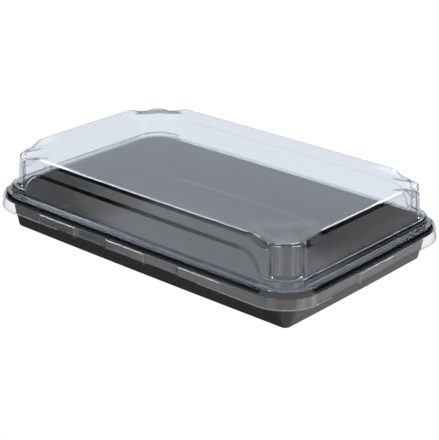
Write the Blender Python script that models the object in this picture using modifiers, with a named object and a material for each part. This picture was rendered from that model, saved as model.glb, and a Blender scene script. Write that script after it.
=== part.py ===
"""A takeaway sushi tray, closed: a black thermoformed tray and the clear domed lid that is pushed on over its rim.

Metres, +Z up, X along the long side, origin under the middle of the flat bottom. Each piece is one quarter of a
thin sheet, lofted through level sections, mirrored twice and given its thickness by Solidify.
"""

import math

import bmesh
import bpy

MM = 0.001

# Tray sheet
TRAY_SHEET = 0.5
TRAY_FOOT = (107.5, 64.1)
TRAY_FOOT_RADIUS = 4.0
TRAY_FOOT_FILLET = 2.4
TRAY_MOUTH = (113.2, 69.8)
TRAY_MOUTH_RADIUS = 16.5
TRAY_MOUTH_FILLET = 1.2
TRAY_RIM = (117.8, 74.5)
TRAY_RIM_RADIUS = 22.2
TRAY_RIM_Z = 24.3
TRAY_LIP_DROP = 3.6
TRAY_LIP_FILLET = 2.8

# Lid sheet
LID_SHEET = 0.4
NODE_GAP = 0.3
LEDGE_Z = TRAY_RIM_Z + NODE_GAP + LID_SHEET
SKIRT_FOOT = (120.0, 76.7)
SKIRT_FOOT_Z = 15.4
SKIRT_RADIUS = 24.4
SKIRT_FLARE = 0.7
SKIRT_FLARE_HEIGHT = 1.2
SKIRT_DRAFT = 0.2
SHOULDER_INSET = 3.4
SHOULDER_Z = 21.9
PLINTH = (112.5, 69.2)
PLINTH_RADIUS = 14.0
PLINTH_TOP_Z = 28.4
PLINTH_DRAFT = 0.3
EDGE_FILLET = 0.3
WALL_FOOT = (111.3, 67.8)
WALL_FOOT_Z = 29.0
ROOF = (110.0, 66.6)
ROOF_Z = 50.6
ROOF_FILLET = 2.4
ROOF_FILLET_TURNS = (0.0, 30.0, 60.0, 90.0)

# Roof corners, drooping to the corner columns
DROOP = 3.7
DROOP_START = 27.0
DROOP_END = 18.8
FLAT_RADIUS = 40.0
COLUMN_JOG = 14.0
COLUMN_INSET = 3.2
COLUMN_RADIUS = 10.0
COLUMN_STEPS = 6

# Arched panels on the long sides
PANEL_HALF = 91.6
PANEL_TOP_Z = 40.5
PANEL_RADIUS = 13.9
PANEL_TOP_Y = 68.5
PANEL_FOOT_Y = 69.9
PANEL_EDGE = 0.8
PANEL_SHELF = 0.5
PANEL_LEVELS = 5

# Small lugs, proud of the skirt
LUG_PROUD = 0.7
LUG_SLOPE = 0.7
LUG_RISE = 0.5
LUG_TOP_Z = 20.8
LONG_LUG_HALF = 15.0
LONG_LUG_PITCH = 56.0
SHORT_LUG_HALF = 16.5

# Slight outward bow of every straight side
LONG_BOW = 0.5
SHORT_BOW = 0.3
WALL_BARREL = 0.3

CORNER_POINTS = COLUMN_STEPS + 3


def clear_scene():
    for obj in list(bpy.data.objects):
        bpy.data.objects.remove(obj, do_unlink=True)


def principled(name, color, roughness, transmission=0.0, alpha=1.0):
    material = bpy.data.materials.new(name)
    material.use_nodes = True
    shader = material.node_tree.nodes["Principled BSDF"]
    shader.inputs["Base Color"].default_value = (*color, 1.0)
    shader.inputs["Roughness"].default_value = roughness
    shader.inputs["Transmission Weight"].default_value = transmission
    shader.inputs["Alpha"].default_value = alpha
    material.diffuse_color = (*color, alpha)
    return material


def mix(a, b, t):
    return a + (b - a) * t


def between(a, b, t):
    """The size (half X, half Y) a share t of the way from a to b."""
    return (mix(a[0], b[0], t), mix(a[1], b[1], t))


def grown(size, by):
    return (size[0] + by, size[1] + by)


def corner_arc(size, radius, count):
    """Points on the +X +Y corner of a rounded rectangle, from its X side to its Y side."""
    middle = (size[0] - radius, size[1] - radius)
    turns = [math.pi / 2 * i / (count - 1) for i in range(count)]
    return [
        (middle[0] + radius * math.cos(turn), middle[1] + radius * math.sin(turn))
        for turn in turns
    ]


def column_corner(size):
    """The same corner with a rounded column set in from both walls by a jog."""
    inner = grown(size, -COLUMN_INSET)
    arc = corner_arc(inner, COLUMN_RADIUS, COLUMN_STEPS + 1)
    start = (size[0], size[1] - COLUMN_JOG)
    end = (size[0] - COLUMN_JOG, size[1])
    return [start, *arc, end]


def bowed(size, x, y):
    """A point of a side moved out by the side's bow, most at its middle."""
    if x >= size[0] - 1.0:
        return x + SHORT_BOW * max(0.0, 1 - (y / (size[1] - SKIRT_RADIUS)) ** 2), y
    if y >= size[1] - 1.0:
        return x, y + LONG_BOW * max(0.0, 1 - (x / (size[0] - SKIRT_RADIUS)) ** 2)
    return x, y


def section(size, z, points):
    """A row of (order, point) pairs round a quarter. The order says which points of two rows belong together."""
    return [(order, (*bowed(size, x, y), z)) for order, x, y in points]


def corner_row(corner):
    return [(30 + i, x, y) for i, (x, y) in enumerate(corner)]


def plain_section(size, radius, z, count):
    corner = corner_row(corner_arc(size, radius, count))
    return section(size, z, [(0, size[0], 0.0), *corner, (90, 0.0, size[1])])


def lug_section(size, radius, z, proud, whole=True):
    """The skirt's section with its small lugs standing proud of it, or only their ends where whole is False."""
    x, y = size
    first, last = LONG_LUG_PITCH - LONG_LUG_HALF, LONG_LUG_PITCH + LONG_LUG_HALF
    ends = [
        (0, x + proud, 0.0),
        (2, x, SHORT_LUG_HALF + LUG_SLOPE),
        *corner_row(corner_arc(size, radius, CORNER_POINTS)),
        (60, last + LUG_SLOPE, y),
        (63, first - LUG_SLOPE, y),
        (64, LONG_LUG_HALF + LUG_SLOPE, y),
        (90, 0.0, y + proud),
    ]
    faces = [
        (1, x + proud, SHORT_LUG_HALF),
        (61, last, y + proud),
        (62, first, y + proud),
        (65, LONG_LUG_HALF, y + proud),
    ]
    return section(size, z, sorted(ends + faces if whole else ends))


def panel_section(size, corner, z, half, face_y):
    """A section through the arched panel, which ends at half and stands out to face_y."""
    points = [
        (0, size[0], 0.0),
        *corner_row(corner),
        (50, half + PANEL_EDGE, size[1]),
        (51, half, face_y),
        (90, 0.0, face_y),
    ]
    return section(size, z, points)


def roof_section(size, z):
    """A section of the wall above the panel, with the points where the roof edge starts and stops drooping."""
    points = [
        (0, size[0], 0.0),
        (10, size[0], size[1] - DROOP_START),
        (11, size[0], size[1] - DROOP_END),
        *corner_row(column_corner(size)),
        (50, size[0] - DROOP_END, size[1]),
        (51, size[0] - DROOP_START, size[1]),
        (90, 0.0, size[1]),
    ]
    return section(size, z, points)


def skirt_sections():
    """From the cut edge of the skirt up over the shoulder."""
    upper = grown(SKIRT_FOOT, -SKIRT_FLARE - SKIRT_DRAFT)
    lower = grown(SKIRT_FOOT, -SKIRT_FLARE)
    flare_z = SKIRT_FOOT_Z + SKIRT_FLARE_HEIGHT
    tall = SHOULDER_Z - flare_z
    slope_z = LUG_TOP_Z + LUG_RISE
    rows = [
        (SKIRT_FOOT, SKIRT_FOOT_Z, LUG_PROUD),
        (lower, flare_z, LUG_PROUD),
        (between(lower, upper, (LUG_TOP_Z - flare_z) / tall), LUG_TOP_Z, LUG_PROUD),
        (between(lower, upper, (slope_z - flare_z) / tall), slope_z, 0.0),
        (upper, SHOULDER_Z, 0.0),
        (grown(SKIRT_FOOT, -SHOULDER_INSET), LEDGE_Z, 0.0),
    ]
    return [
        lug_section(size, SKIRT_RADIUS - SKIRT_FOOT[0] + size[0], z, proud, z < SHOULDER_Z)
        for size, z, proud in rows
    ]


def panel_at(z):
    """Half length and face Y of the arched panel at a level up to its top."""
    over = max(0.0, z - (PANEL_TOP_Z - PANEL_RADIUS))
    half = PANEL_HALF - PANEL_RADIUS + math.sqrt(max(0.0, PANEL_RADIUS**2 - over**2))
    share = max(0.0, (z - PLINTH_TOP_Z) / (PANEL_TOP_Z - PLINTH_TOP_Z))
    return half, mix(PANEL_FOOT_Y, PANEL_TOP_Y, share)


def plinth_sections():
    """The ledge's inner edge, the plinth and its narrow shelf."""
    ledge = grown(PLINTH, EDGE_FILLET)
    top = grown(PLINTH, -PLINTH_DRAFT)
    shelf = grown(top, -EDGE_FILLET)
    sections = [plain_section(ledge, PLINTH_RADIUS + EDGE_FILLET, LEDGE_Z, CORNER_POINTS)]
    for size, z in (
        (PLINTH, LEDGE_Z + EDGE_FILLET),
        (top, PLINTH_TOP_Z),
        (shelf, PLINTH_TOP_Z + EDGE_FILLET),
    ):
        corner = corner_arc(size, PLINTH_RADIUS + size[0] - PLINTH[0], CORNER_POINTS)
        sections.append(panel_section(size, corner, z, *panel_at(z)))
    return sections


def wall_size(z):
    """The walls' half sizes at a level: drafted, and slightly barrelled."""
    share = (z - WALL_FOOT_Z) / (ROOF_Z - WALL_FOOT_Z)
    return grown(between(WALL_FOOT, ROOF, share), WALL_BARREL * math.sin(math.pi * share))


def wall_sections():
    """The walls with their corner columns, first beside the arched panels and then above them."""
    middle_z = PANEL_TOP_Z - PANEL_RADIUS
    levels = [WALL_FOOT_Z + 0.2]
    for i in range(1, PANEL_LEVELS + 1):
        turn = math.pi / 2 * i / PANEL_LEVELS
        levels.append(middle_z + PANEL_RADIUS * math.sin(turn))
    sections = []
    for z in levels:
        size = wall_size(z)
        sections.append(panel_section(size, column_corner(size), z, *panel_at(z)))
    z = PANEL_TOP_Z + PANEL_SHELF
    size = wall_size(z)
    sections.append(panel_section(size, column_corner(size), z, panel_at(z)[0], size[1]))
    z = ROOF_Z - DROOP - ROOF_FILLET - 1.2
    sections.append(roof_section(wall_size(z), z))
    return sections


def droop_share(size, x, y):
    """How much of the droop a point of the roof edge has, by its distance from the virtual corner."""
    away = max(size[0] - x, size[1] - y)
    return min(1.0, max(0.0, (DROOP_START - away) / (DROOP_START - DROOP_END)))


def roof_sections():
    """The wall's top edge, its fillet, and the flat roof that the drooping corners rise to."""
    sections = []
    for turn in map(math.radians, ROOF_FILLET_TURNS):
        down = ROOF_FILLET * (1 - math.sin(turn))
        size = grown(ROOF, -ROOF_FILLET * (1 - math.cos(turn)))
        row = []
        for order, (x, y, _) in roof_section(size, ROOF_Z):
            row.append((order, (x, y, ROOF_Z - down - DROOP * droop_share(size, x, y))))
        sections.append(row)
    flat_size = grown(ROOF, -ROOF_FILLET - 2.0)
    edge = sections[-1]
    count = len(edge) - 2
    arc = corner_arc(flat_size, FLAT_RADIUS, count)
    corner = [(order, x, y) for (order, _), (x, y) in zip(edge[1:-1], arc)]
    flat = section(
        flat_size, ROOF_Z, [(0, flat_size[0], 0.0), *corner, (90, 0.0, flat_size[1])]
    )
    return [*sections, flat]


def tray_sections():
    """From the turned-down lip over the rim and down the inside to the floor, on the sheet's upper side."""
    sections = [plain_section(TRAY_RIM, TRAY_RIM_RADIUS, TRAY_RIM_Z - TRAY_LIP_DROP, 9)]
    for turn in (0.0, math.pi / 6, math.pi / 3, math.pi / 2):
        inset = TRAY_LIP_FILLET * (1 - math.cos(turn))
        z = TRAY_RIM_Z - TRAY_LIP_FILLET * (1 - math.sin(turn))
        size = grown(TRAY_RIM, -inset)
        sections.append(plain_section(size, TRAY_RIM_RADIUS - inset, z, 9))
    for turn in (0.0, math.pi / 6, math.pi / 3, math.pi / 2):
        out = TRAY_MOUTH_FILLET * (1 - math.sin(turn))
        z = TRAY_RIM_Z - TRAY_MOUTH_FILLET * (1 - math.cos(turn))
        size = grown(TRAY_MOUTH, out)
        sections.append(plain_section(size, TRAY_MOUTH_RADIUS + out, z, 9))
    fillet = TRAY_FOOT_FILLET - TRAY_SHEET
    foot = grown(TRAY_FOOT, -TRAY_SHEET)
    for step in range(5):
        turn = math.pi / 8 * step
        inset = fillet * (1 - math.cos(turn))
        z = TRAY_SHEET + fillet * (1 - math.sin(turn))
        size = grown(foot, -inset)
        sections.append(plain_section(size, TRAY_FOOT_RADIUS - inset, z, 9))
    return sections


def stitched(shape, lower, upper):
    """Faces between two rows of (order, vertex) pairs: a quad where both rows have the next order, or a triangle."""
    i = j = 0
    while i < len(lower) - 1 or j < len(upper) - 1:
        low = lower[i + 1][0] if i < len(lower) - 1 else 1000
        high = upper[j + 1][0] if j < len(upper) - 1 else 1000
        corners = [lower[i][1]]
        if low <= high:
            i += 1
            corners.append(lower[i][1])
        if high <= low:
            j += 1
            corners.append(upper[j][1])
        corners.append(upper[j - (high <= low)][1])
        shape.faces.new(corners)


def quarter_sheet(name, sections):
    """One quarter of a sheet through the sections, closed by a flat face on the last of them, with its top side out."""
    mesh = bpy.data.meshes.new(name)
    shape = bmesh.new()
    rows = [
        [(order, shape.verts.new([MM * value for value in point])) for order, point in row]
        for row in sections
    ]
    for lower, upper in zip(rows, rows[1:]):
        stitched(shape, lower, upper)
    middle = shape.verts.new((0.0, 0.0, MM * sections[-1][0][1][2]))
    cap = shape.faces.new([vertex for _, vertex in rows[-1]] + [middle])
    bmesh.ops.recalc_face_normals(shape, faces=shape.faces)
    if cap.normal.z < 0:
        bmesh.ops.reverse_faces(shape, faces=shape.faces)
    shape.to_mesh(mesh)
    shape.free()
    return mesh


def whole_sheet(name, mesh, thickness, material, collection):
    obj = bpy.data.objects.new(name, mesh)
    collection.objects.link(obj)
    obj.data.materials.append(material)
    mirror = obj.modifiers.new("Mirror", "MIRROR")
    mirror.use_axis = (True, True, False)
    mirror.merge_threshold = 0.00001
    solid = obj.modifiers.new("Sheet", "SOLIDIFY")
    solid.thickness = thickness * MM
    solid.offset = -1.0
    solid.use_even_offset = True
    return obj


def main():
    clear_scene()
    collection = bpy.data.collections.new("sushi_tray")
    bpy.context.scene.collection.children.link(collection)
    black = principled("black_sheet", (0.018, 0.019, 0.020), 0.22)
    clear = principled("clear_sheet", (0.86, 0.90, 0.94), 0.04, transmission=1.0, alpha=0.3)
    tray = quarter_sheet("tray", tray_sections())
    whole_sheet("tray", tray, TRAY_SHEET, black, collection)
    lid = quarter_sheet(
        "lid", skirt_sections() + plinth_sections() + wall_sections() + roof_sections()
    )
    whole_sheet("lid", lid, LID_SHEET, clear, collection)


main()
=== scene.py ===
"""Looks for a takeaway sushi tray: a black thermoformed tray and its clear push-on lid."""

import math

import bpy
import numpy as np
from mathutils import Matrix, Vector


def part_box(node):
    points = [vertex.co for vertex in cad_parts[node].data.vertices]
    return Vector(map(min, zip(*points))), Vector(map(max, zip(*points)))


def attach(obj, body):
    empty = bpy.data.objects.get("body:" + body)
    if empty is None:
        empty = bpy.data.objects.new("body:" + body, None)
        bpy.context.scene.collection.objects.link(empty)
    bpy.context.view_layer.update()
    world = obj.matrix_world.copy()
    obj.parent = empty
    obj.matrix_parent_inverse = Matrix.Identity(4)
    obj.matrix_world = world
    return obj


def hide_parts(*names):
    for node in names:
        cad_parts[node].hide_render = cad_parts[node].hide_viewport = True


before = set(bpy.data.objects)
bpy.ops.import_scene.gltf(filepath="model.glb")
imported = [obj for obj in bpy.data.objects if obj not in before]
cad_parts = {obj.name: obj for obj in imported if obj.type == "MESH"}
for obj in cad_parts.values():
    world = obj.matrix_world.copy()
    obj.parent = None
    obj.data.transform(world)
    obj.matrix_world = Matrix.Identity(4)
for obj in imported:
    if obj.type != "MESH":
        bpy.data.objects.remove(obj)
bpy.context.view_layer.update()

MM = 0.001
TRAY_HIGH = np.array(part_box("tray")[1]) / MM
LID_LOW, LID_HIGH = (np.array(corner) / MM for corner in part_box("lid"))

# ---------------------------------------------------------------- sizes, in millimetres

# The lid's skirt, with its flared cut edge, and the shoulder and ledge above it.
SHORT_BOW, LONG_BOW = 0.3, 0.5
LUG_PROUD = 0.7
SKIRT_FOOT = (LID_HIGH[0] - SHORT_BOW - LUG_PROUD, LID_HIGH[1] - LONG_BOW - LUG_PROUD)
SKIRT_FOOT_Z = LID_LOW[2]
SKIRT_RADIUS = 24.4
SKIRT_FLARE, SKIRT_FLARE_HEIGHT, SKIRT_DRAFT = 0.7, 1.2, 0.2
FLARE_START = 0.25
LID_SHEET, RIM_GAP = 0.4, 0.3
LEDGE_Z = TRAY_HIGH[2] + RIM_GAP + LID_SHEET
SHOULDER_INSET, SHOULDER_Z = 3.4, 21.9
SHOULDER_BEND_BELOW, SHOULDER_BEND_ABOVE = 0.5, 0.9

# The lugs: three on each long side and one on each short side.
LUG_TOP_Z, LUG_SLOPE, LUG_RISE = 20.8, 0.8, 0.5
LONG_LUG_HALF, LONG_LUG_PITCH, SHORT_LUG_HALF = 15.0, 56.0, 16.5
LUG_REACH = 2.0

# The plinth on the ledge, and the shelf between it and the walls.
PLINTH, PLINTH_RADIUS, PLINTH_DRAFT = (112.5, 69.2), 14.0, 0.3
PLINTH_TOP_Z = 28.4
EDGE_FILLET = 0.3
SHELF_Z = PLINTH_TOP_Z + EDGE_FILLET + 0.1

# The walls, leaning in to the roof, with a slight barrel.
WALL_FOOT, WALL_FOOT_Z = (111.3, 67.8), 29.0
WALL_BARREL = 0.3
WALL_ROOT, COLUMN_ROOT = 0.5, 2.1

# The corner columns, set in behind a jog in each wall.
COLUMN_JOG, COLUMN_INSET, COLUMN_RADIUS = 14.0, 3.2, 10.0
JOG_EDGE, JOG_ROOT, TIGHTEST_BEND = 0.9, 0.6, 0.15

# The roof, and how it droops to the columns.
ROOF, ROOF_Z = (110.0, 66.6), LID_HIGH[2]
ROOF_FILLET, COLUMN_FILLET = 2.4, 1.1
DROOP, DROOP_SADDLE, DROOP_TIP = 3.7, 0.3, 11
DROOP_START, DROOP_START_GROWTH, DROOP_START_MOST = 27.0, 2.6, 47
DROOP_END, DROOP_END_LOSS, DROOP_END_LEAST = 18.8, 1.2, 13
# Rows inside the roof's fillet: how far in, corner radius, and how much the columns have faded.
ROOF_EASE = ((3.4, 22, 0.3), (4.4, 22, 0.55), (5.8, 21, 0.8), (7.4, 20.5, 1))
ROOF_SCALES = (0.972, 0.94, 0.905, 0.865, 0.82, 0.77, 0.71, 0.64, 0.55)

# The arched panels, proud of the long walls.
PANEL_HALF, PANEL_TOP_Z, PANEL_RADIUS = 91.6, 39.8, 13.2
PANEL_TOP_Y, PANEL_FOOT_Y, PANEL_REACH = 68.5, 69.9, 1.3
PANEL_BEND_X, PANEL_BEND_Z = PANEL_HALF - PANEL_RADIUS, PANEL_TOP_Z - PANEL_RADIUS
PANEL_EDGE, PANEL_END_STEEPER, PANEL_EDGE_ROUNDING = 2.5, 0.8, 0.6
PANEL_LINE_LEAST, PANEL_LINE_FAN = 1.2, 0.6

# The tray.
TRAY_SHEET = 0.5
TRAY_RIM = (TRAY_HIGH[0] - SHORT_BOW, TRAY_HIGH[1] - LONG_BOW)
TRAY_RIM_Z, TRAY_RIM_RADIUS = TRAY_HIGH[2], 22.2
TRAY_MOUTH, TRAY_MOUTH_RADIUS, TRAY_MOUTH_FILLET = (113.2, 69.8), 16.5, 1.2
TRAY_FOOT, TRAY_FOOT_RADIUS, TRAY_FOOT_FILLET = (107.5, 64.1), 4.0, 2.4
TRAY_LIP_DROP, TRAY_LIP_FILLET = 3.6, 2.8

# The fine ribs on the skirt's cut edge.
KNURL_PITCH, KNURL_FROM_X, KNURL_FROM_Y = 1.25, 56.0, 42.0
KNURL_DEEP, KNURL_TALL, KNURL_BODY = 0.7, 0.8, 0.6
KNURL_INSET, KNURL_RISE = 0.36, 0.62
KNURL_SPREAD, KNURL_SEED = 0.12, 7
KNURL_SEGMENTS, KNURL_RINGS = 8, 5

# Edges that bend by more than this many degrees are shaded sharp.
SHARP_ANGLE = 50


# ---------------------------------------------------------------- small shape helpers

def mix(a, b, t):
    return a + (b - a) * t


def smooth(t):
    t = np.clip(t, 0.0, 1.0)
    return t * t * (3 - 2 * t)


def steps(count):
    return np.linspace(0.0, 1.0, count)


def turns(start, end, count):
    """Angles in radians, from degrees."""
    return np.radians(np.linspace(start, end, count))


def grown(size, by):
    return tuple(half + by for half in size)


# ---------------------------------------------------------------- plan of a quarter, from X to Y

CORNER_GAP = 0.3
SHORT_END, LONG_END = SKIRT_FOOT[1] - SKIRT_RADIUS, SKIRT_FOOT[0] - SKIRT_RADIUS
LUG_STEPS = LUG_SLOPE * np.array([-0.6, -0.2, 0.15, 0.4, 0.65, 0.9, 1.2])

# Places along the short side. Those past SHORT_FIXED move with the corner's start.
SHORT_FIXED, SHORT_LAST = 36.0, 51.6
SHORT_LINES = np.concatenate([
    np.linspace(0, SHORT_LUG_HALF - 0.9, 5),
    SHORT_LUG_HALF + LUG_STEPS,
    np.linspace(SHORT_LUG_HALF + 4, SHORT_FIXED, 5),
    np.linspace(SHORT_FIXED + 2.5, SHORT_LAST, 11),
])

# Places along the long side: beside the arched panel, then over the lugs, closest at their ends.
OUTER_LINES, INNER_LINES = 5, 5
PANEL_LINES = PANEL_EDGE * np.array([1.05, 0.92, 0.8, 0.65, 0.5, 0.35, 0.2, 0.05, -0.15])
FAR_LUG_START, FAR_LUG_END = LONG_LUG_PITCH - LONG_LUG_HALF, LONG_LUG_PITCH + LONG_LUG_HALF
LUG_LINES = np.concatenate([
    FAR_LUG_END + LUG_STEPS[::-1],
    np.linspace(FAR_LUG_END - 4, FAR_LUG_START + 4, 6),
    FAR_LUG_START - LUG_STEPS,
    np.linspace(FAR_LUG_START - 5, LONG_LUG_HALF + 5, 4),
    LONG_LUG_HALF + LUG_STEPS[::-1],
    np.linspace(LONG_LUG_HALF - 4, 0, 4),
])

# Points along half a corner: the bends of the jog with one between them, and then the column.
# The share says how far each follows the column and not the wall.
BEND_POINTS, COLUMN_POINTS = 6, 10
COLUMN_SHARE = np.concatenate([smooth(steps(2 * BEND_POINTS + 1)), np.ones(COLUMN_POINTS)])
CORNER_POINTS = 2 * len(COLUMN_SHARE) - 1


def short_bow(y):
    """How far the short side bows out at places along it."""
    return SHORT_BOW * np.clip(1 - (y / SHORT_END) ** 2, 0, 1)


def long_bow(x):
    """How far the long side bows out at places along it."""
    return LONG_BOW * np.clip(1 - (x / LONG_END) ** 2, 0, 1)


def short_side(size, y_end):
    """Points along the short side up to y_end."""
    y = SHORT_LINES.copy()
    last = y > SHORT_FIXED
    room = y_end - CORNER_GAP - SHORT_FIXED
    y[last] = SHORT_FIXED + (y[last] - SHORT_FIXED) * room / (SHORT_LAST - SHORT_FIXED)
    return np.stack([size[0] + short_bow(y), y], 1)


def panel_line(z, out):
    """X of a line that runs a distance outside the arched panel's outline, at a level."""
    over = np.maximum(0.0, z - PANEL_BEND_Z)
    reach = np.sqrt(np.maximum(0.0, (PANEL_RADIUS + out) ** 2 - over**2))
    return PANEL_BEND_X + np.maximum(reach, PANEL_LINE_LEAST + PANEL_LINE_FAN * out)


def long_side_x(x_end, z):
    """X places along the long side from x_end to the middle."""
    edge = panel_line(z, PANEL_LINES)
    ends = np.linspace(x_end - CORNER_GAP, edge[0], OUTER_LINES + 1)[:-1]
    inner = np.linspace(edge[-1], LUG_LINES[0], INNER_LINES + 2)[1:-1]
    return np.concatenate([ends, edge, inner, LUG_LINES])


def panel_share(x, z):
    """1 on the arched panel, 0 beside and above it. Its edge is steeper at its ends."""
    over_x, over_z = np.maximum(0.0, x - PANEL_BEND_X), np.maximum(0.0, z - PANEL_BEND_Z)
    reach = np.hypot(over_x, over_z)
    steep = 1 + PANEL_END_STEEPER * over_x / np.maximum(reach, 1e-6)
    out = np.clip((reach - PANEL_RADIUS) / PANEL_EDGE * steep, 0, 1)
    return 1 - mix(out, smooth(out), PANEL_EDGE_ROUNDING)


def panel_face(z):
    """Y of the arched panel's face at a level."""
    share = np.clip((z - PLINTH_TOP_Z) / (PANEL_TOP_Z - PLINTH_TOP_Z), 0, PANEL_REACH)
    return mix(PANEL_FOOT_Y, PANEL_TOP_Y, share)


def long_side(size, x_end, z, panel):
    """Points along the long side from x_end to the middle, with the arched panel or without it."""
    x = long_side_x(x_end, z)
    y = np.full_like(x, size[1])
    if panel:
        y = y + panel_share(x, z) * np.maximum(0.0, panel_face(z) - size[1])
    return np.stack([x, y + long_bow(x)], 1)


def plain_corner(size, radius, count=CORNER_POINTS):
    """A round corner."""
    angles = turns(0, 90, count)
    x = size[0] - radius + radius * np.cos(angles)
    y = size[1] - radius + radius * np.sin(angles)
    return np.stack([x, y], 1)


def half_column(by):
    """Half of a corner, drawn inset, as distances from the short wall and from the long one."""
    edge, middle = max(TIGHTEST_BEND, JOG_EDGE - by), max(JOG_EDGE, by + TIGHTEST_BEND)
    angles = turns(0, 90, BEND_POINTS)
    jog_edge = np.stack(
        [middle - edge * np.cos(angles), COLUMN_JOG + middle - edge * np.sin(angles)], 1
    )
    root = max(TIGHTEST_BEND, JOG_ROOT + by)
    foot = (COLUMN_INSET + by - root, COLUMN_JOG + by - root)
    angles = turns(270, 180, BEND_POINTS)
    jog_root = np.stack([foot[0] - root * np.cos(angles), foot[1] - root * np.sin(angles)], 1)
    angles = turns(0, 45, COLUMN_POINTS)
    column = COLUMN_INSET + COLUMN_RADIUS - (COLUMN_RADIUS - by) * np.stack(
        [np.cos(angles), np.sin(angles)], 1
    )
    return np.concatenate([jog_edge, mix(jog_edge[-1:], jog_root[:1], 0.5), jog_root, column])


def column_corner(size, inset=0.0, column_inset=None):
    """The corner with its set-in column, drawn inset from the walls and from the column."""
    column_inset = inset if column_inset is None else column_inset
    whole = mix(half_column(inset), half_column(column_inset), COLUMN_SHARE[:, None])
    away = np.concatenate([whole, whole[-2::-1, ::-1]])
    return np.array(size) - away


def wall_size(z):
    """Half lengths of the walls' outline at a level."""
    share = (z - WALL_FOOT_Z) / (ROOF_Z - WALL_FOOT_Z)
    barrel = WALL_BARREL * math.sin(math.pi * min(1.0, max(0.0, share)))
    return tuple(mix(a, b, share) + barrel for a, b in zip(WALL_FOOT, ROOF))


def quarter(size, corner, z, panel=False):
    """One quarter of a row: short side, corner and long side, as (x, y, z)."""
    plan = np.concatenate([
        short_side(size, corner[0][1]),
        corner,
        long_side(size, corner[-1][0], z, panel),
    ])
    return np.column_stack([plan, np.full(len(plan), z)])


def roof_height(x, y):
    """The roof: flat, sinking smoothly to the corner columns."""
    a, b = ROOF[0] - x, ROOF[1] - y
    near = np.maximum(0.0, np.minimum(a, b))
    start = np.minimum(DROOP_START + DROOP_START_GROWTH * near, DROOP_START_MOST)
    end = np.maximum(DROOP_END - DROOP_END_LOSS * near, DROOP_END_LEAST)
    tip = smooth(1 - np.abs(a - b) / DROOP_TIP)
    return ROOF_Z - DROOP * smooth((start - (a + b)) / (start - end)) * (1 - DROOP_SADDLE * tip)


def along_corner(wall, column):
    """A value for each point of a quarter: one for the walls, going over to one for the column."""
    start = len(SHORT_LINES)
    values = np.full(start + CORNER_POINTS + len(long_side_x(0.0, ROOF_Z)), float(wall))
    share = np.concatenate([COLUMN_SHARE, COLUMN_SHARE[-2::-1]])
    values[start : start + CORNER_POINTS] = mix(wall, column, share)
    return values


def outward(row):
    """Unit directions pointing out of a quarter's outline."""
    along = np.gradient(row[:, :2], axis=0)
    out = np.stack([along[:, 1], -along[:, 0]], 1)
    return out / np.maximum(1e-9, np.linalg.norm(out, axis=1))[:, None]


# ---------------------------------------------------------------- rows of the lid, foot to roof

def lug_share(plan, z):
    """How far the lugs of the short and of the long side stand out at each point, as a share."""
    tall = 1 - smooth((z - LUG_TOP_Z) / LUG_RISE)
    short = 1 - smooth((np.abs(plan[:, 1]) - SHORT_LUG_HALF) / LUG_SLOPE)
    long_middle = 1 - smooth((np.abs(plan[:, 0]) - LONG_LUG_HALF) / LUG_SLOPE)
    off = np.abs(np.abs(plan[:, 0]) - LONG_LUG_PITCH)
    long_ends = 1 - smooth((off - LONG_LUG_HALF) / LUG_SLOPE)
    on_short = plan[:, 1] < SHORT_LUG_HALF + LUG_REACH
    on_long = plan[:, 0] < LONG_LUG_PITCH + LONG_LUG_HALF + LUG_REACH
    return tall * on_short * short, tall * on_long * np.maximum(long_middle, long_ends)


def skirt_row(inset, z):
    size = grown(SKIRT_FOOT, -inset)
    row = quarter(size, plain_corner(size, SKIRT_RADIUS - inset), z)
    short, long = lug_share(row, z)
    row[:, 0] += LUG_PROUD * short
    row[:, 1] += LUG_PROUD * long
    return row


def skirt_rows():
    """The flared edge, the skirt with its lugs, the shoulder, and the outer edge of the ledge."""
    rows = [skirt_row(0.0, SKIRT_FOOT_Z)]
    for t in steps(5)[1:]:
        inset = SKIRT_FLARE * smooth(mix(FLARE_START, 1.0, t))
        rows.append(skirt_row(inset, SKIRT_FOOT_Z + SKIRT_FLARE_HEIGHT * t))
    flare_z = SKIRT_FOOT_Z + SKIRT_FLARE_HEIGHT
    full = SKIRT_FLARE + SKIRT_DRAFT
    levels = np.linspace(flare_z + 1.2, LUG_TOP_Z - 1.0, 3)
    lug_levels = LUG_TOP_Z + LUG_RISE * np.array([-0.5, 0.0, 0.2, 0.4, 0.6, 0.8, 1.0])
    for z in np.concatenate([levels, lug_levels]):
        rows.append(skirt_row(mix(SKIRT_FLARE, full, (z - flare_z) / (SHOULDER_Z - flare_z)), z))
    slope = (SHOULDER_INSET - full) / (LEDGE_Z - SHOULDER_Z)
    below = np.array((full, SHOULDER_Z - SHOULDER_BEND_BELOW))
    bend = np.array((full, SHOULDER_Z))
    above = bend + SHOULDER_BEND_ABOVE * np.array((slope, 1))
    for t in (0.15, 0.4, 0.7, 1.0):
        rows.append(skirt_row(*mix(mix(below, bend, t), mix(bend, above, t), t)))
    rows.append(skirt_row(SHOULDER_INSET, LEDGE_Z))
    return rows


def plinth_row(out, radius_out, z, panel=True):
    size = grown(PLINTH, out)
    return quarter(size, plain_corner(size, PLINTH_RADIUS + radius_out), z, panel)


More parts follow.
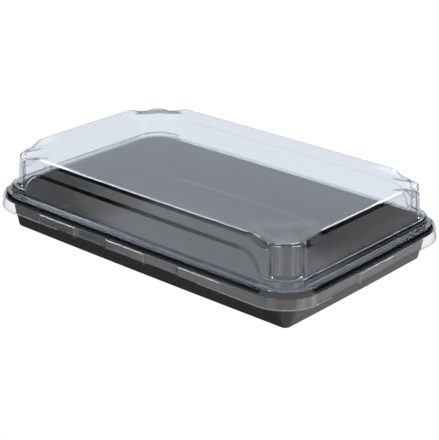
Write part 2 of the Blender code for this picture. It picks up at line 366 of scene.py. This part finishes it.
def plinth_rows(ledge_out):
    """The ledge from its outer edge, the plinth with a fillet at its foot and one at its top."""
    ledge_in = plinth_row(EDGE_FILLET, EDGE_FILLET, LEDGE_Z, panel=False)
    rows = [mix(ledge_out, ledge_in, t) for t in (0.3, 0.65)] + [ledge_in]
    fillet = turns(22.5, 90, 4)
    for turn in fillet:
        out = EDGE_FILLET * (1 - math.sin(turn))
        rows.append(plinth_row(out, out, LEDGE_Z + EDGE_FILLET * (1 - math.cos(turn))))
    for t in (0.5, 1.0):
        rows.append(plinth_row(-PLINTH_DRAFT * t, 0.0, mix(LEDGE_Z + EDGE_FILLET, PLINTH_TOP_Z, t)))
    for turn in fillet:
        inset = EDGE_FILLET * (1 - math.cos(turn))
        z = PLINTH_TOP_Z + EDGE_FILLET * math.sin(turn)
        rows.append(plinth_row(-PLINTH_DRAFT - inset, -inset, z))
    return rows


def wall_root_rows(shelf_out):
    """The shelf from its outer edge, and the fillet into the walls, wider round the columns."""
    wall = wall_size(SHELF_Z)
    rise = along_corner(WALL_ROOT, COLUMN_ROOT)
    rows = []
    for turn in turns(0, 90, 7):
        out, column_out = (root * (1 - math.sin(turn)) for root in (WALL_ROOT, COLUMN_ROOT))
        row = quarter(grown(wall, out), column_corner(wall, -out, -column_out), SHELF_Z, panel=True)
        row[:, 2] += rise * (1 - math.cos(turn))
        rows.append(row)
    return [mix(shelf_out, rows[0], t) for t in (0.35, 0.7)] + rows


def wall_rows():
    """The walls with the arched panels, up to the start of the roof's fillet."""
    arch = PANEL_BEND_Z + PANEL_RADIUS * np.sin(turns(18, 90, 11))
    levels = list(arch[arch > SHELF_Z + COLUMN_ROOT + 0.3])
    levels += list(PANEL_TOP_Z + PANEL_EDGE * np.array([0.1, 0.25, 0.4, 0.55, 0.7, 0.85, 1.0]))
    rows = [quarter(wall_size(z), column_corner(wall_size(z)), z, panel=True) for z in levels]
    low = quarter(WALL_FOOT, column_corner(WALL_FOOT), levels[-1])
    high = quarter(ROOF, column_corner(ROOF), ROOF_Z)
    top = roof_height(high[:, 0], high[:, 1]) - along_corner(ROOF_FILLET, COLUMN_FILLET)
    for t in (0.25, 0.5, 0.7, 0.85, 1.0):
        z = mix(levels[-1], top, t)
        share = (z - WALL_FOOT_Z) / (ROOF_Z - WALL_FOOT_Z)
        row = np.column_stack([mix(low[:, :2], high[:, :2], share[:, None]), z])
        row[:, :2] += outward(row) * (WALL_BARREL * np.sin(np.pi * share))[:, None]
        rows.append(row)
    return rows


def roof_rows():
    """The roof's fillet, then rows that lose the columns' outline, then ever smaller ones."""
    fillet = along_corner(ROOF_FILLET, COLUMN_FILLET)
    rows = []
    for turn in turns(10, 90, 9):
        inset, column_inset = (
            radius * (1 - math.cos(turn)) for radius in (ROOF_FILLET, COLUMN_FILLET)
        )
        row = quarter(grown(ROOF, -inset), column_corner(ROOF, inset, column_inset), ROOF_Z)
        row[:, 2] = roof_height(row[:, 0], row[:, 1]) - fillet * (1 - math.sin(turn))
        rows.append(row)
    edge = rows[-1]
    flats = []
    for inward, radius, share in ROOF_EASE:
        size = grown(ROOF, -inward)
        flats.append(mix(edge, quarter(size, plain_corner(size, radius), ROOF_Z), share))
    flats += [flats[-1] * (scale, scale, 1) for scale in ROOF_SCALES]
    for row in flats:
        row[:, 2] = roof_height(row[:, 0], row[:, 1])
    return rows + flats


def lid_rows():
    rows = skirt_rows()
    rows += plinth_rows(rows[-1])
    rows += wall_root_rows(rows[-1])
    return rows + wall_rows() + roof_rows()


# ---------------------------------------------------------------- rows of the tray, lip to bottom

TRAY_CORNER_POINTS, TRAY_SHORT_POINTS, TRAY_LONG_POINTS = 17, 8, 12


def tray_quarter(size, radius, z):
    corner = plain_corner(size, radius, TRAY_CORNER_POINTS)
    y = np.linspace(0, corner[0][1], TRAY_SHORT_POINTS)[:-1]
    x = np.linspace(corner[-1][0], 0, TRAY_LONG_POINTS)[1:]
    plan = np.concatenate([
        np.stack([size[0] + short_bow(y), y], 1),
        corner,
        np.stack([x, size[1] + long_bow(x)], 1),
    ])
    return np.column_stack([plan, np.full(len(plan), z)])


def tray_rows():
    """The lip's skirt and its two fillets, the leaning wall, the fillet at its foot, the bottom."""
    rows = []
    for z in np.linspace(TRAY_RIM_Z - TRAY_LIP_DROP, TRAY_RIM_Z - TRAY_LIP_FILLET, 3)[:-1]:
        rows.append(tray_quarter(TRAY_RIM, TRAY_RIM_RADIUS, z))
    for turn in turns(0, 90, 7):
        inset = TRAY_LIP_FILLET * (1 - math.cos(turn))
        z = TRAY_RIM_Z - TRAY_LIP_FILLET * (1 - math.sin(turn))
        rows.append(tray_quarter(grown(TRAY_RIM, -inset), TRAY_RIM_RADIUS - inset, z))
    for turn in turns(0, 90, 7):
        out = TRAY_MOUTH_FILLET * (1 - math.sin(turn))
        z = TRAY_RIM_Z - TRAY_MOUTH_FILLET * (1 - math.cos(turn))
        rows.append(tray_quarter(grown(TRAY_MOUTH, out), TRAY_MOUTH_RADIUS + out, z))
    mouth = rows[-1]
    fillet = TRAY_FOOT_FILLET - TRAY_SHEET
    foot = grown(TRAY_FOOT, -TRAY_SHEET)
    foot_row = tray_quarter(foot, TRAY_FOOT_RADIUS, TRAY_SHEET + fillet)
    rows += [mix(mouth, foot_row, t) for t in (0.2, 0.4, 0.6, 0.8)]
    for turn in turns(0, 90, 8):
        inset = fillet * (1 - math.cos(turn))
        z = TRAY_SHEET + fillet * (1 - math.sin(turn))
        rows.append(tray_quarter(grown(foot, -inset), TRAY_FOOT_RADIUS - inset, z))
    return rows + [rows[-1] * (scale, scale, 1) for scale in (0.97, 0.9, 0.75)]


# ---------------------------------------------------------------- meshes

def new_object(name, points, edges, faces, materials):
    mesh = bpy.data.meshes.new(name)
    mesh.from_pydata(points, edges, faces)
    mesh.update()
    for material in materials:
        mesh.materials.append(material)
    obj = bpy.data.objects.new(name, mesh)
    bpy.context.scene.collection.objects.link(obj)
    return obj


def apply_modifiers(obj):
    graph = bpy.context.evaluated_depsgraph_get()
    mesh = bpy.data.meshes.new_from_object(obj.evaluated_get(graph))
    obj.modifiers.clear()
    obj.data = mesh
    mesh.shade_smooth()
    return obj


def whole_rings(rows):
    """Each quarter row mirrored into a closed ring."""
    rings = []
    for row in rows:
        second = row[::-1] * (-1, 1, 1)
        third = row * (-1, -1, 1)
        fourth = row[::-1] * (1, -1, 1)
        rings.append(np.concatenate([row[:-1], second[:-1], third[:-1], fourth[:-1]]))
    return np.array(rings)


def sheet_from(name, rows, thickness, materials):
    """A closed sheet of a thickness through the rows, capped by a flat face on the last one.

    The first material is on the rows' side, and the last one on the other side and the cut edge."""
    rings = whole_rings(rows)
    count, around = rings.shape[:2]
    index = np.arange(count * around).reshape(count, around)
    low, high = index[:-1], index[1:]
    faces = np.stack([low, np.roll(low, -1, 1), np.roll(high, -1, 1), high], -1).reshape(-1, 4)
    points = rings.reshape(-1, 3) * MM
    obj = new_object(name, points.tolist(), [], faces.tolist() + [index[-1].tolist()], materials)
    solid = obj.modifiers.new("Sheet", "SOLIDIFY")
    solid.thickness = thickness * MM
    solid.offset = -1.0
    solid.use_even_offset = False
    solid.material_offset = solid.material_offset_rim = len(materials) - 1
    apply_modifiers(obj).data.set_sharp_from_angle(angle=math.radians(SHARP_ANGLE))
    return obj


# ---------------------------------------------------------------- fine ribs on the skirt's cut edge

def knurl_lines():
    """The lines the ribs follow: the skirt's edge round each corner, and a stretch of its sides."""
    size = grown(SKIRT_FOOT, -KNURL_INSET)
    corner = plain_corner(size, SKIRT_RADIUS - KNURL_INSET, 40)
    short = np.linspace(KNURL_FROM_Y, corner[0][1], 6)[:-1]
    long = np.linspace(corner[-1][0], KNURL_FROM_X, 24)[1:]
    plan = np.concatenate([
        np.stack([size[0] + short_bow(short), short], 1),
        corner,
        np.stack([long, size[1] + long_bow(long)], 1),
    ])
    line = np.column_stack([plan, np.full(len(plan), SKIRT_FOOT_Z + KNURL_RISE)])
    mirrors = ((1, 1, 1), (-1, 1, 1), (-1, -1, 1), (1, -1, 1))
    return [(line * mirror)[:: mirror[0] * mirror[1]] for mirror in mirrors]


def knurl_tree(material):
    """Small rounded ribs at an even pitch along the lines of the mesh it is given.

    Returns the tree and the identifier of each named input."""
    tree = bpy.data.node_groups.new("knurls", "GeometryNodeTree")
    face, nodes, links = tree.interface, tree.nodes, tree.links
    face.new_socket("Geometry", in_out="INPUT", socket_type="NodeSocketGeometry")
    inputs = {}
    kinds = {"Pitch": "Float", "Rib size": "Vector", "Size spread": "Float", "Seed": "Int"}
    for name, kind in kinds.items():
        socket = face.new_socket(name, in_out="INPUT", socket_type="NodeSocket" + kind)
        inputs[name] = socket.identifier
    face.new_socket("Geometry", in_out="OUTPUT", socket_type="NodeSocketGeometry")
    given, made = nodes.new("NodeGroupInput"), nodes.new("NodeGroupOutput")

    curve = nodes.new("GeometryNodeMeshToCurve")
    points = nodes.new("GeometryNodeCurveToPoints")
    points.mode = "LENGTH"
    links.new(given.outputs["Geometry"], curve.inputs["Mesh"])
    links.new(curve.outputs["Curve"], points.inputs["Curve"])
    links.new(given.outputs["Pitch"], points.inputs["Length"])

    rib = nodes.new("GeometryNodeMeshUVSphere")
    rib.inputs["Segments"].default_value = KNURL_SEGMENTS
    rib.inputs["Rings"].default_value = KNURL_RINGS
    rib.inputs["Radius"].default_value = 0.5
    sized = nodes.new("GeometryNodeTransform")
    links.new(rib.outputs["Mesh"], sized.inputs["Geometry"])
    links.new(given.outputs["Rib size"], sized.inputs["Scale"])

    uneven = nodes.new("FunctionNodeRandomValue")
    limits = [socket for socket in uneven.inputs if socket.type == "VALUE"]
    for operation, limit in zip(("SUBTRACT", "ADD"), limits):
        step = nodes.new("ShaderNodeMath")
        step.operation = operation
        step.inputs[0].default_value = 1.0
        links.new(given.outputs["Size spread"], step.inputs[1])
        links.new(step.outputs[0], limit)
    links.new(given.outputs["Seed"], uneven.inputs["Seed"])
    amount = next(socket for socket in uneven.outputs if socket.type == "VALUE")

    place = nodes.new("GeometryNodeInstanceOnPoints")
    links.new(points.outputs["Points"], place.inputs["Points"])
    links.new(points.outputs["Rotation"], place.inputs["Rotation"])
    links.new(sized.outputs["Geometry"], place.inputs["Instance"])
    links.new(amount, place.inputs["Scale"])
    real, paint = nodes.new("GeometryNodeRealizeInstances"), nodes.new("GeometryNodeSetMaterial")
    paint.inputs["Material"].default_value = material
    links.new(place.outputs["Instances"], real.inputs["Geometry"])
    links.new(real.outputs["Geometry"], paint.inputs["Geometry"])
    links.new(paint.outputs["Geometry"], made.inputs["Geometry"])
    return tree, inputs


def knurls(material):
    points, edges = [], []
    for line in knurl_lines():
        start = len(points)
        points += (line * MM).tolist()
        edges += [(i, i + 1) for i in range(start, len(points) - 1)]
    obj = new_object("skirt_knurls", points, edges, [], [material])
    tree, inputs = knurl_tree(material)
    ribs = obj.modifiers.new("Knurls", "NODES")
    ribs.node_group = tree
    ribs[inputs["Pitch"]] = KNURL_PITCH * MM
    ribs[inputs["Rib size"]] = (KNURL_DEEP * MM, KNURL_TALL * MM, KNURL_BODY * MM)
    ribs[inputs["Size spread"]] = KNURL_SPREAD
    ribs[inputs["Seed"]] = KNURL_SEED
    return apply_modifiers(obj)


# ---------------------------------------------------------------- materials

RELIEF_DEPTH = 0.2 * MM
NOISE_LOW, NOISE_HIGH = 0.3, 0.7


def new_material(name):
    material = bpy.data.materials.new(name)
    material.use_nodes = True
    nodes = material.node_tree.nodes
    return material, nodes, material.node_tree.links, nodes["Principled BSDF"]


def moulded_sheet(name, color, ior, scale, detail, gloss, relief, transmission=0.0):
    """Moulded plastic. One noise in object space gives uneven gloss and a very slight relief."""
    material, nodes, links, shader = new_material(name)
    shader.inputs["Base Color"].default_value = (*color, 1)
    shader.inputs["IOR"].default_value = ior
    shader.inputs["Transmission Weight"].default_value = transmission
    noise = nodes.new("ShaderNodeTexNoise")
    noise.inputs["Scale"].default_value = scale
    noise.inputs["Detail"].default_value = detail
    links.new(nodes.new("ShaderNodeTexCoord").outputs["Object"], noise.inputs["Vector"])
    rough = nodes.new("ShaderNodeMapRange")
    rough.inputs["From Min"].default_value = NOISE_LOW
    rough.inputs["From Max"].default_value = NOISE_HIGH
    rough.inputs["To Min"].default_value, rough.inputs["To Max"].default_value = gloss
    links.new(noise.outputs[0], rough.inputs["Value"])
    links.new(rough.outputs["Result"], shader.inputs["Roughness"])
    bump = nodes.new("ShaderNodeBump")
    bump.inputs["Strength"].default_value = relief
    bump.inputs["Distance"].default_value = RELIEF_DEPTH
    links.new(noise.outputs[0], bump.inputs["Height"])
    links.new(bump.outputs["Normal"], shader.inputs["Normal"])
    return material


black_inside = moulded_sheet(
    "black_gloss_inside", (0.007, 0.0075, 0.008), ior=1.36,
    scale=60.0, detail=3.0, gloss=(0.17, 0.25), relief=0.03,
)
black_outside = moulded_sheet(
    "black_satin_outside", (0.024, 0.0235, 0.023), ior=1.36,
    scale=240.0, detail=3.0, gloss=(0.26, 0.33), relief=0.05,
)
clear_sheet = moulded_sheet(
    "clear_sheet", (0.90, 0.925, 0.96), ior=1.55, transmission=1.0,
    scale=35.0, detail=2.0, gloss=(0.012, 0.032), relief=0.02,
)
# The same sheet where its edge is roughened: paler and less see-through.
clear_ribs = moulded_sheet(
    "clear_sheet_ribs", (0.80, 0.82, 0.84), ior=1.5, transmission=0.25,
    scale=400.0, detail=2.0, gloss=(0.18, 0.32), relief=0.1,
)

# ---------------------------------------------------------------- the object

tray = sheet_from("tray_sheet", tray_rows(), TRAY_SHEET, [black_inside, black_outside])
lid = sheet_from("lid_sheet", lid_rows(), LID_SHEET, [clear_sheet])
ribs = knurls(clear_ribs)

for piece, node, finish in (
    (tray, "tray", "black_sheet"), (lid, "lid", "clear_sheet"), (ribs, "lid", "clear_sheet")
):
    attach(piece, "root")
    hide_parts(node)

# ---------------------------------------------------------------- floor, light and camera

FLOOR_HALF = 4.0

# Soft lights: bearing (degrees anticlockwise from +X) of the middle, half width and its soft edge;
# then the heights between which it shines and their soft edge; then its colour.
SOFT_LIGHTS = (
    ("camera side, above", -43, 79, 10, 2, 90, 8, (0.64, 0.64, 0.64)),
    ("zenith", 130, 180, 1, 66, 90, 14, (0.24, 0.24, 0.24)),
    ("table, near", -27, 58, 14, -90, -4, 12, (0.92, 0.88, 0.85)),
    ("table, near left", -111, 21.5, 3.5, -30, -4, 12, (1.02, 1.05, 1.08)),
    ("table, near right", 36, 4, 8, -34, -4, 12, (0.8, 0.78, 0.77)),
    ("table, left strip", -80, 7, 8, -32, 0, 10, (0.75, 0.75, 0.75)),
    ("table, right strip", -4, 8, 8, -32, 0, 10, (0.85, 0.85, 0.85)),
    ("table, right", 62, 32, 10, -90, -33, 16, (1.05, 1.03, 1.02)),
    ("table, far left", 176, 66, 14, -90, -8, 12, (0.06, 0.065, 0.07)),
    ("table, warm edge", -41, 30, 30, -90, -44, 12, (0.30, 0.14, 0.02)),
    ("backdrop", 129, 12, 20, 9, 90, 6, (0.72, 0.78, 0.84)),
    ("ceiling glow over the backdrop", 124, 16, 34, 38, 82, 20, (0.62, 0.65, 0.68)),
    ("left softbox", 182, 20, 8, 41, 54, 4, (5.6, 5.8, 6.0)),
    ("right softbox", 96, 12, 6, 37, 50, 4, (5.6, 5.8, 6.0)),
)
DARK_ROOM = (0.022, 0.023, 0.025)

# The camera's turn round the tray from its long side, its height and its roll, in degrees; then
# its place to the right, up and back along its own axes, in millimetres; then its focal length,
# in widths of its frame, and the width of its sensor.
CAMERA_AROUND, CAMERA_ABOVE, CAMERA_ROLL = 40.93, 22.56, 0.56
CAMERA_RIGHT, CAMERA_UP, CAMERA_BACK = 3.43, 12.92, 848.89
CAMERA_FOCAL_WIDTHS, CAMERA_SENSOR = 1396.2 / 439, 36.0


def stage_floor():
    """A plain white floor that neither lights the object nor shows in its gloss."""
    material, nodes, links, shader = new_material("floor_white")
    nodes.remove(shader)
    glow = nodes.new("ShaderNodeEmission")
    glow.inputs["Color"].default_value = (1, 1, 1, 1)
    links.new(glow.outputs[0], nodes["Material Output"].inputs["Surface"])
    half = FLOOR_HALF
    corners = [(-half, -half, 0), (half, -half, 0), (half, half, 0), (-half, half, 0)]
    floor = new_object("floor", corners, [], [(0, 1, 2, 3)], [material])
    floor.visible_glossy = False
    floor.visible_diffuse = False
    floor.visible_shadow = False


def studio_world():
    """Plain white seen directly; soft lights all round seen in the gloss."""
    world = bpy.data.worlds.new("studio")
    bpy.context.scene.world = world
    world.use_nodes = True
    nodes, links = world.node_tree.nodes, world.node_tree.links

    def math_node(operation, *values):
        node = nodes.new("ShaderNodeMath")
        node.operation = operation
        for socket, value in zip(node.inputs, values):
            if isinstance(value, (int, float)):
                socket.default_value = value
            else:
                links.new(value, socket)
        return node.outputs[0]

    def fade(value, start, end):
        """1 on start's side, going smoothly to 0 at end, whichever of them is larger."""
        node = nodes.new("ShaderNodeMapRange")
        node.interpolation_type = "SMOOTHSTEP"
        node.inputs["From Min"].default_value = min(start, end)
        node.inputs["From Max"].default_value = max(start, end)
        node.inputs["To Min"].default_value = 1.0 if start < end else 0.0
        node.inputs["To Max"].default_value = 0.0 if start < end else 1.0
        links.new(value, node.inputs["Value"])
        return node.outputs["Result"]

    way = nodes.new("ShaderNodeSeparateXYZ")
    links.new(nodes.new("ShaderNodeTexCoord").outputs["Generated"], way.inputs[0])
    x, y, z = way.outputs
    height = math_node("MULTIPLY", math_node("ARCSINE", z), 180 / math.pi)
    bearing = math_node("MULTIPLY", math_node("ARCTAN2", y, x), 180 / math.pi)

    total = None
    for name, middle, half, edge, low, high, rise, color in SOFT_LIGHTS:
        turned = math_node("WRAP", math_node("SUBTRACT", bearing, middle), 180.0, -180.0)
        share = fade(math_node("ABSOLUTE", turned), half, half + edge)
        if low > -90:
            share = math_node("MULTIPLY", share, fade(height, low, low - rise))
        if high < 90:
            share = math_node("MULTIPLY", share, fade(height, high, high + rise))
        light = nodes.new("ShaderNodeVectorMath")
        light.operation = "MULTIPLY_ADD"
        light.label = name
        links.new(share, light.inputs[0])
        light.inputs[1].default_value = color
        if total is None:
            light.inputs[2].default_value = DARK_ROOM
        else:
            links.new(total, light.inputs[2])
        total = light.outputs[0]

    lit = nodes["Background"]
    lit.inputs["Strength"].default_value = 1.0
    links.new(total, lit.inputs["Color"])
    plain = nodes.new("ShaderNodeBackground")
    plain.inputs["Color"].default_value = (1, 1, 1, 1)
    either = nodes.new("ShaderNodeMixShader")
    links.new(nodes.new("ShaderNodeLightPath").outputs["Is Camera Ray"], either.inputs[0])
    links.new(lit.outputs[0], either.inputs[1])
    links.new(plain.outputs[0], either.inputs[2])
    links.new(either.outputs[0], nodes["World Output"].inputs["Surface"])


def add_camera():
    around, above, roll = np.radians((CAMERA_AROUND, CAMERA_ABOVE, CAMERA_ROLL)).tolist()
    back = Vector((
        math.sin(around) * math.cos(above), -math.cos(around) * math.cos(above), math.sin(above)
    ))
    flat = Vector((math.cos(around), math.sin(around), 0))
    rise = back.cross(flat)
    right = math.cos(roll) * flat + math.sin(roll) * rise
    up = -math.sin(roll) * flat + math.cos(roll) * rise
    data = bpy.data.cameras.new("camera")
    data.sensor_fit = "HORIZONTAL"
    data.sensor_width = CAMERA_SENSOR
    data.lens = CAMERA_FOCAL_WIDTHS * CAMERA_SENSOR
    data.clip_start, data.clip_end = 0.05, 20
    camera = bpy.data.objects.new("camera", data)
    place = (CAMERA_RIGHT * right + CAMERA_UP * up + CAMERA_BACK * back) * MM
    turn = Matrix((right, up, back)).transposed().to_4x4()
    camera.matrix_world = Matrix.Translation(place) @ turn
    bpy.context.scene.collection.objects.link(camera)
    bpy.context.scene.camera = camera


stage_floor()
studio_world()
add_camera()
scene = bpy.context.scene
scene.view_settings.view_transform = "Standard"
scene.cycles.max_bounces = 24
scene.cycles.transmission_bounces = 24
scene.cycles.glossy_bounces = 8
scene.cycles.transparent_max_bounces = 48
